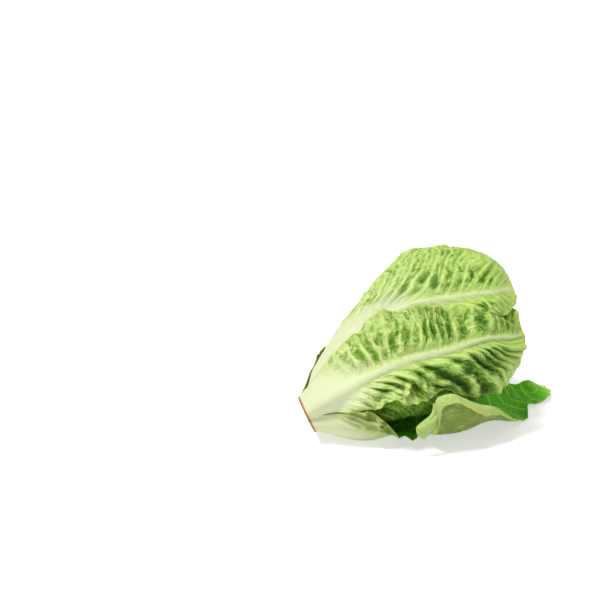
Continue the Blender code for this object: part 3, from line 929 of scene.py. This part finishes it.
def store_marks(mesh, marks):
    """Keeps the marks: pairs become UV maps, fours become point colours."""
    corner = np.empty(len(mesh.loops), dtype=np.int64)
    mesh.loops.foreach_get("vertex_index", corner)
    for name, values in marks.items():
        if values.shape[1] == 2:
            mesh.uv_layers.new(name=name).data.foreach_set("uv", values[corner].ravel())
        else:
            colours = mesh.attributes.new(name, "FLOAT_COLOR", "POINT")
            colours.data.foreach_set("color", values.ravel())


def shaped_sheet(name, cells, form):
    """A double sheet whose points are moved by form(s, v, outer), which also gives marks."""
    made = double_sheet(name, *cells)
    x, y, z = read_points(made.data).T
    points, marks = form(ramp(x + 0.5), np.clip(2 * y, -1, 1), np.where(z > 0.5, 1.0, 0.0))
    made.data.vertices.foreach_set("co", points.ravel())
    while made.data.uv_layers:
        made.data.uv_layers.remove(made.data.uv_layers[0])
    store_marks(made.data, marks)
    return made


def finish_piece(made, material):
    """Gives the piece its material and smooth faces that point outwards."""
    made.data.materials.clear()
    made.data.materials.append(material)
    deselect()
    made.select_set(True)
    bpy.context.view_layer.objects.active = made
    bpy.ops.object.mode_set(mode="EDIT")
    bpy.ops.mesh.select_all(action="SELECT")
    bpy.ops.mesh.normals_make_consistent(inside=False)
    bpy.ops.object.mode_set(mode="OBJECT")
    bpy.ops.object.shade_smooth()


# %% [markdown]
# ## What a leaf is made of
#
# Seen close, a blade is a net of pale veins over green. The big side veins follow the
# pleats, and between them run two finer nets. A Voronoi texture's distance to the cell
# edges draws such a net. Fine wrinkles run along the side veins: they are the zero lines of
# a noise that is stretched along them. All leaves share this, so it is a node group. It
# reads the leaf's own maps, so the pattern bends with the leaf.

# %% Helpers for shader nodes
def fill(tree, node, values):
    """Fills a node's inputs: another node's socket is linked, any other value is set."""
    for key, value in values.items():
        if isinstance(value, bpy.types.NodeSocket):
            tree.links.new(value, node.inputs[key])
        else:
            node.inputs[key].default_value = value


def add_node(tree, kind, values=None, **settings):
    """Adds a shader node, sets its properties and fills its inputs."""
    node = tree.nodes.new(kind)
    for key, value in settings.items():
        setattr(node, key, value)
    fill(tree, node, values or {})
    return node


def math_node(tree, operation, *values, clamp=False):
    """A Math node; each value is a number or a socket."""
    inputs = dict(enumerate(values))
    node = add_node(tree, "ShaderNodeMath", inputs, operation=operation, use_clamp=clamp)
    return node.outputs[0]


def line_from(tree, distance, width):
    """1 where the distance is 0, falling to 0 at the width."""
    return math_node(tree, "SUBTRACT", 1, math_node(tree, "DIVIDE", distance, width), clamp=True)


def net(tree, vector, scale, width, warp):
    """Lines of a Voronoi net: 1 on a line, 0 between."""
    wobble = add_node(
        tree, "ShaderNodeTexNoise", {"Vector": vector, "Scale": scale * 0.9, "Detail": 1},
        noise_dimensions="2D",
    )
    shifted = add_node(
        tree, "ShaderNodeVectorMath",
        {0: wobble.outputs["Color"], 1: (warp / scale, warp / scale, 0), 2: vector},
        operation="MULTIPLY_ADD",
    )
    cells = add_node(
        tree, "ShaderNodeTexVoronoi", {"Vector": shifted.outputs[0], "Scale": scale},
        feature="DISTANCE_TO_EDGE", voronoi_dimensions="2D",
    )
    return line_from(tree, cells.outputs["Distance"], width)


# %% Vein pattern, shared by all leaves
NET_SCALE, FINE_NET_SCALE = 19, 62
MOTTLE_SCALE = 9
WRINKLE_STRETCH = (2.4, 16, 0)
WRINKLE_NARROWNESS = 3.2

veins = bpy.data.node_groups.new("leaf_veins", "ShaderNodeTree")
veins.interface.new_socket("Vein Width", in_out="INPUT", socket_type="NodeSocketFloat")
for output in ("Side Veins", "Net", "Fine Net", "Mottle", "Wrinkles"):
    veins.interface.new_socket(output, in_out="OUTPUT", socket_type="NodeSocketFloat")
given = add_node(veins, "NodeGroupInput")
place_map = add_node(veins, "ShaderNodeUVMap", uv_map="leaf_place").outputs["UV"]
phase_map = add_node(veins, "ShaderNodeUVMap", uv_map="leaf_veins").outputs["UV"]
split = add_node(veins, "ShaderNodeSeparateXYZ", {0: phase_map})
offset = math_node(veins, "PINGPONG", split.outputs["X"], 0.5)
mottle = add_node(
    veins, "ShaderNodeTexNoise", {"Vector": place_map, "Scale": MOTTLE_SCALE, "Detail": 4},
    noise_dimensions="2D",
)
stretched = add_node(
    veins, "ShaderNodeVectorMath", {0: phase_map, 1: WRINKLE_STRETCH}, operation="MULTIPLY"
)
wrinkle = add_node(
    veins, "ShaderNodeTexNoise",
    {"Vector": stretched.outputs[0], "Scale": 1, "Detail": 3, "Distortion": 0.8},
    noise_dimensions="2D",
)
centred = math_node(veins, "MULTIPLY_ADD", wrinkle.outputs["Fac"], 2, -1)
off_line = math_node(veins, "ABSOLUTE", centred)
add_node(veins, "NodeGroupOutput", {
    "Side Veins": line_from(veins, offset, given.outputs["Vein Width"]),
    "Net": net(veins, place_map, NET_SCALE, 0.055, 0.55),
    "Fine Net": net(veins, place_map, FINE_NET_SCALE, 0.09, 0.4),
    "Mottle": mottle.outputs["Fac"],
    "Wrinkles": math_node(veins, "MULTIPLY_ADD", off_line, -WRINKLE_NARROWNESS, 1, clamp=True),
})
print("nodes in the vein pattern:", len(veins.nodes))

# %% [markdown]
# ## Leaf colours
#
# The outside of a romaine leaf is paler and duller than its inside. White runs up from
# the petiole and along the rib. Crests are pale and folds deep green, partly the leaf's own
# tone and partly painted shade, and the narrowest slits get a near-black painted shade.
# Towards the tip all gets greener. Where it was cut the tissue turned rust brown. A leaf is
# thin, so some light goes through it: subsurface scattering gives that glow.

# %% Leaf colours
TONES = {
    "outer": {
        "deep_base": (0.17, 0.31, 0.012), "deep_tip": (0.045, 0.18, 0.001),
        "pale_base": (0.58, 0.69, 0.27), "pale_tip": (0.38, 0.57, 0.10),
        "inside": (0.14, 0.38, 0.008), "vein": (0.56, 0.68, 0.22),
        "back_vein": (0.58, 0.69, 0.24),
    },
    "floor": {
        "deep_base": (0.22, 0.29, 0.05), "deep_tip": (0.10, 0.17, 0.006),
        "pale_base": (0.42, 0.48, 0.20), "pale_tip": (0.38, 0.53, 0.13),
        "inside": (0.055, 0.44, 0.001), "vein": (0.46, 0.72, 0.03),
        "back_vein": (0.36, 0.48, 0.14),
    },
    "green": {
        "deep_base": (0.035, 0.13, 0.003), "deep_tip": (0.03, 0.13, 0.002),
        "pale_base": (0.28, 0.52, 0.06), "pale_tip": (0.36, 0.52, 0.05),
        "inside": (0.15, 0.42, 0.01), "vein": (0.44, 0.64, 0.12),
        "back_vein": (0.24, 0.44, 0.05),
    },
    "heart": {
        "deep_base": (0.40, 0.46, 0.06), "deep_tip": (0.18, 0.36, 0.015),
        "pale_base": (0.64, 0.66, 0.22), "pale_tip": (0.40, 0.56, 0.06),
        "inside": (0.58, 0.70, 0.09), "vein": (0.72, 0.76, 0.30),
        "back_vein": (0.66, 0.70, 0.22),
    },
}
# How much the fine wrinkles show, and the gloss
FINISH = {"outer": (1.0, 0.2), "floor": (0.45, 0.1), "green": (0.8, 0.15), "heart": (0.5, 0.25)}
WHITE = (0.565, 0.61, 0.375)
RIM = (0.48, 0.60, 0.12)
RUST = (0.36, 0.13, 0.035)
# Near-black green: painted shade in the narrowest slits between folds
PAINTED_SLIT_SHADE = (0.025, 0.085, 0.001)


def mixed(tree, first, second, factor):
    """A colour between two colours; each may be a value or a socket."""
    first, second = (
        (*value, 1) if isinstance(value, tuple) else value for value in (first, second)
    )
    values = {0: factor, 6: first, 7: second}
    return add_node(tree, "ShaderNodeMix", values, data_type="RGBA").outputs[2]


def marks_of(tree, name):
    """The three values of a point colour."""
    source = add_node(tree, "ShaderNodeAttribute", attribute_name=name)
    return add_node(tree, "ShaderNodeSeparateColor", {0: source.outputs["Color"]}).outputs


def step_from(tree, value, low, high):
    """0 below low, 1 above high, smooth between."""
    values = {"Value": value, "From Min": low, "From Max": high}
    node = add_node(tree, "ShaderNodeMapRange", values, interpolation_type="SMOOTHSTEP")
    return node.outputs["Result"]


# %% The outer and the inner face
def outer_face(tree, tones, height, far, wrinkles, pattern):
    """Pale crests and deep hollows, partly own tone and partly painted shade, near-black painted
    shade in the slits, and veins that show most on the crests.
    """
    side, wide, fine, mottle = pattern
    deep = mixed(tree, tones["deep_base"], tones["deep_tip"], far)
    pale = mixed(tree, tones["pale_base"], tones["pale_tip"], far)
    spread = math_node(tree, "MULTIPLY_ADD", mottle, 0.7, -0.35)
    spread = math_node(tree, "MULTIPLY_ADD", wrinkles, 0.4, spread)
    # From deep hollows to pale crests: partly the leaf's own tone, partly painted shade
    level = step_from(tree, math_node(tree, "ADD", height, spread), 0.25, 0.9)
    # Painted shade: the lowest places of the folds go near black
    clear_of_slit_shade = step_from(tree, math_node(tree, "MULTIPLY_ADD", spread, 0.4, height), 0, 0.24)
    colour = mixed(tree, mixed(tree, PAINTED_SLIT_SHADE, deep, clear_of_slit_shade), pale, level)
    lines = math_node(tree, "MULTIPLY", wide, 0.22)
    lines = math_node(tree, "MULTIPLY_ADD", side, 0.6, lines, clamp=True)
    lines = math_node(tree, "MULTIPLY_ADD", fine, 0.1, lines, clamp=True)
    # Veins are dimmed with the painted shade of the hollows
    raised = math_node(tree, "MULTIPLY_ADD", level, 0.65, 0.35)
    return mixed(tree, colour, tones["back_vein"], math_node(tree, "MULTIPLY", lines, raised))


def inner_face(tree, tones, pattern):
    """Even green under a bright net of veins."""
    side, wide, fine, _ = pattern
    bright = math_node(tree, "MULTIPLY", side, 0.8)
    bright = math_node(tree, "MULTIPLY_ADD", wide, 0.75, bright, clamp=True)
    bright = math_node(tree, "MULTIPLY_ADD", fine, 0.18, bright, clamp=True)
    return mixed(tree, tones["inside"], tones["vein"], bright)


def leaf_relief(tree, whiteness, wrinkles, pattern):
    """The normal of a surface with raised veins and wrinkles, smooth where it is white."""
    side, wide, fine, _ = pattern
    bumps = math_node(tree, "MULTIPLY_ADD", wide, 0.4, math_node(tree, "MULTIPLY", fine, 0.2))
    bumps = math_node(tree, "MULTIPLY_ADD", side, 0.6, bumps)
    bumps = math_node(tree, "MULTIPLY_ADD", wrinkles, 2.3, bumps)
    calm = math_node(tree, "SUBTRACT", 1, whiteness, clamp=True)
    bumps = math_node(tree, "MULTIPLY", bumps, calm)
    values = {"Strength": 0.8, "Distance": 0.4 * MM, "Height": bumps}
    return add_node(tree, "ShaderNodeBump", values).outputs["Normal"]


# %% Leaf materials
VEIN_WIDTH = 0.11


def leaf_material(name, tones, wrinkling, shine):
    """Leaf tissue in the given tones."""
    made = bpy.data.materials.new(name)
    made.use_nodes = True
    tree = made.node_tree
    group = add_node(tree, "ShaderNodeGroup", node_tree=veins)
    fill(tree, group, {"Vein Width": VEIN_WIDTH})
    pattern = [group.outputs[k] for k in ("Side Veins", "Net", "Fine Net", "Mottle")]
    wrinkles = math_node(tree, "MULTIPLY", group.outputs["Wrinkles"], wrinkling)
    whiteness, height, inside = marks_of(tree, "leaf_tone")
    rim, cut, far = marks_of(tree, "leaf_rim")
    blade = mixed(
        tree,
        outer_face(tree, tones, height, far, wrinkles, pattern),
        inner_face(tree, tones, pattern),
        inside,
    )
    blade = mixed(tree, blade, WHITE, whiteness)
    # The rim mark also brings the painted highlight of the lowest leaf's notch
    blade = mixed(tree, blade, RIM, math_node(tree, "MULTIPLY", rim, 0.7))
    fill(tree, tree.nodes["Principled BSDF"], {
        "Base Color": mixed(tree, blade, RUST, cut),
        "Roughness": math_node(tree, "MULTIPLY_ADD", group.outputs["Mottle"], 0.3, 0.28),
        "Normal": leaf_relief(tree, whiteness, wrinkles, pattern),
        "Subsurface Weight": 0.2,
        "Subsurface Radius": (0.6, 1.0, 0.15),
        "Subsurface Scale": 1.2 * MM,
        "Specular IOR Level": shine,
    })
    return made


materials = {
    key: leaf_material(f"{key}_leaf_tissue", tones, *FINISH[key]) for key, tones in TONES.items()
}
print("leaf materials:", list(materials))

# %% [markdown]
# ## The flap
#
# At the near end of its rolled margin the lowest leaf ends in a small flap, which hangs
# down in front. It is a second small sheet, joined to the leaf, with four stations down
# its middle line, and widths that make it a lobe.

# %% The flap
FLAP_CELLS = (48, 36)
FLAP_MIDDLE = [
    (0, (-1, -59, 43)), (0.3, (-2, -61, 35)), (0.65, (-7, -61.5, 27)), (1, (-8.5, -58, 17)),
]
FLAP_WIDTHS = [(0, 2.5), (0.2, 3), (0.38, 6.5), (0.6, 8.8), (0.8, 6.6), (0.93, 2.8), (1, 0.4)]
FLAP_HALF_WIDTH = 8.8 * MM
FLAP_HOLLOW = 3.5 * MM
FLAP_THICKNESS = 0.6 * MM
FLAP_VEIN_STEP = 5 * MM


def flap_form(s, v, outer):
    """World points of the flap and its marks."""
    tracks = [along(s * MM, [(at, place[k]) for at, place in FLAP_MIDDLE]) for k in range(3)]
    points = np.stack(tracks, -1) * MM
    wide = along(s * MM, FLAP_WIDTHS) * MM
    points[:, 0] += v * wide
    points[:, 1] += FLAP_HOLLOW * v * v * wide / FLAP_HALF_WIDTH
    points[:, 1] += 0.6 * MM * noise(6 * s, 3 * v, 5) - FLAP_THICKNESS * outer
    points[:, 2] += 1.5 * MM * v + 0.8 * MM * noise(5 * s, v, 6) * np.abs(v)
    midrib = bump(v * wide / (0.7 * MM))
    none, full = np.zeros_like(s), np.ones_like(s)
    rim = np.maximum(np.abs(v) ** 20, s ** 40)
    phase = (points[:, 2] - 0.6 * np.abs(v) * wide) / FLAP_VEIN_STEP
    return points, {
        "leaf_tone": np.stack([0.3 * midrib, 0.8 + 0.15 * noise(8 * s, 4 * v, 7), none, full], -1),
        "leaf_rim": np.stack([rim, none, 0.7 * full, full], -1),
        "leaf_place": np.stack([v * wide, points[:, 2]], -1) / MAP_STEP,
        "leaf_veins": np.stack([phase, v * wide / MAP_STEP], -1),
    }


# %% [markdown]
# ## All leaves
#
# Every leaf is one closed sheet, made and finished in the same way, and takes the place
# of its solid. The flap becomes part of the lowest leaf's piece.

# %% Build the leaves
total = 0
for leaf in leaves:
    piece = shaped_sheet(
        leaf.name + "_fine", leaf.cells, lambda s, v, outer: leaf_form(leaf, s, v, outer)
    )
    if leaf.name == "leaf_floor":
        shaped_sheet("flap", FLAP_CELLS, flap_form)
        piece.select_set(True)
        bpy.context.view_layer.objects.active = piece
        bpy.ops.object.join()
    finish_piece(piece, materials[leaf.tones])
    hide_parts(leaf.name)
    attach(piece, "root")
    total += 2 * len(piece.data.polygons)
    print(leaf.name, "triangles:", 2 * len(piece.data.polygons))
print("all leaves:", total)

# %% [markdown]
# ## The cut butt
#
# The butt is one piece of tissue: leaf bases grown together round the stem, cut across
# and dried brown. The stem's cone alone would leave gaps between the bases. So the
# piece that stands for the stem is a cylinder with a wide, slightly hollow foot. Its foot
# is inset many times and its side subdivided, so that both can be shaped.

# %% The outline of the butt
BUTT_SECTORS = 72
SECTOR = 5
BUTT_LEAVES = 4


def butt_edge(theta):
    """Outside of the leaf bases at the butt, in each direction."""
    sample = np.linspace(-1, 1, 181)
    edge = np.zeros(BUTT_SECTORS)
    for leaf in leaves[:BUTT_LEAVES]:
        points, _ = leaf_form(leaf, np.zeros_like(sample), sample, np.ones_like(sample))
        rise = (points[:, 2] - BUTT.z) / math.cos(BUTT_TILT)
        angle = np.arctan2(rise, -points[:, 1])
        sector = (np.degrees(angle) // SECTOR).astype(int) % BUTT_SECTORS
        np.maximum.at(edge, sector, np.hypot(points[:, 1], rise))
    edge = np.mean([np.roll(edge, k) for k in (-1, 0, 1)], 0)
    place = np.degrees(theta) / SECTOR - 0.5
    low = np.floor(place).astype(int)
    share = place - low
    return edge[low % BUTT_SECTORS] * (1 - share) + edge[(low + 1) % BUTT_SECTORS] * share


# %% The cylinder with its cuts
STEM_SIDES = 96
FOOT_RINGS = 14
FOOT_RING_WIDTH = 0.066
SHAFT_CUTS = 23

deselect()
bpy.ops.mesh.primitive_cylinder_add(vertices=STEM_SIDES, radius=1, depth=1, end_fill_type="NGON")
stem = bpy.context.object
stem.name = "stem_fine"
bpy.ops.object.mode_set(mode="EDIT")
bpy.ops.mesh.select_all(action="DESELECT")
bpy.ops.object.mode_set(mode="OBJECT")
for face in stem.data.polygons:
    face.select = face.normal.z < -0.9
bpy.ops.object.mode_set(mode="EDIT")
bpy.ops.mesh.select_mode(type="FACE")
for _ in range(FOOT_RINGS):
    bpy.ops.mesh.inset(thickness=FOOT_RING_WIDTH)
# The change from faces to edges alters what is selected, so a second pass selects it anew
for _ in range(2):
    bpy.ops.object.mode_set(mode="OBJECT")
    for edge in stem.data.edges:
        a, b = (stem.data.vertices[i].co for i in edge.vertices)
        edge.select = abs(a.z - b.z) > 0.5
    bpy.ops.object.mode_set(mode="EDIT")
    bpy.ops.mesh.select_mode(type="EDGE")
bpy.ops.mesh.subdivide(number_cuts=SHAFT_CUTS)
bpy.ops.object.mode_set(mode="OBJECT")
print("stem vertices:", len(stem.data.vertices))

# %% The shape of the stem and its foot
STEM_END = 0.95
FOOT_DEPTH = 1.1 * MM
FOOT_HOLLOW = 0.9 * MM

x, y, z = read_points(stem.data).T
height = z + 0.5
theta = np.arctan2(y, x)
radius = np.hypot(x, y)
under = height < 0.03
u = np.where(under, -0.3 * MM, height ** 1.6 * STEM_END * STEM_LENGTH)
foot = butt_edge(theta) - 0.4 * MM + 0.25 * MM * noise(3 * np.cos(theta), 3 * np.sin(theta), 3)
shaft = STEM_RADIUS * ramp(1 - (u / STEM_LENGTH) ** 2)
rho = radius * (shaft + (foot - shaft) * smooth(1.25 - u / FOOT_DEPTH))
hollow = FOOT_HOLLOW * smooth(1.1 - radius)
hollow = hollow + 0.25 * MM * noise(rho / (1.2 * MM), 4 * np.sin(theta), 8)
u = np.where(under, u + hollow, u)
stem.data.vertices.foreach_set("co", settle(u, theta, rho).ravel())
cut = ramp(1.4 - u / (1.5 * MM))
store_marks(stem.data, {
    "cut_face": np.stack([cut, radius, rho / (20 * MM), np.ones_like(u)], -1)
})
print("foot across, mm:", round(2 * float(rho.max()) / MM))

# %% [markdown]
# ## The cut tissue
#
# Fresh stem is cream. Where it was cut it dries brown, in fine specks, and darker towards
# the outside of the cut. The specks are noise in the piece's own coordinates.

# %% The cut tissue
DRIED_PALE = (0.50, 0.30, 0.12)
DRIED_EDGE = (0.30, 0.10, 0.03)
SPECK_SCALE = 420

cut_tissue = bpy.data.materials.new("cut_stem_tissue")
cut_tissue.use_nodes = True
tree = cut_tissue.node_tree
cut, across, _ = marks_of(tree, "cut_face")
where_at = add_node(tree, "ShaderNodeTexCoord").outputs["Object"]
values = {"Vector": where_at, "Scale": SPECK_SCALE, "Detail": 5}
specks = add_node(tree, "ShaderNodeTexNoise", values).outputs["Fac"]
dried = mixed(tree, DRIED_PALE, RUST, specks)
dried = mixed(tree, dried, DRIED_EDGE, math_node(tree, "POWER", across, 8))
values = {"Strength": 0.6, "Distance": 0.3 * MM, "Height": specks}
grain = add_node(tree, "ShaderNodeBump", values)
fill(tree, tree.nodes["Principled BSDF"], {
    "Base Color": mixed(tree, WHITE, dried, cut),
    "Roughness": math_node(tree, "MULTIPLY_ADD", specks, 0.3, 0.4),
    "Normal": grain.outputs["Normal"],
    "Subsurface Weight": 0.2,
    "Subsurface Scale": 1 * MM,
})
finish_piece(stem, cut_tissue)
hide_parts("stem")
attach(stem, "root")
print("stem triangles:", sum(len(face.vertices) - 2 for face in stem.data.polygons))
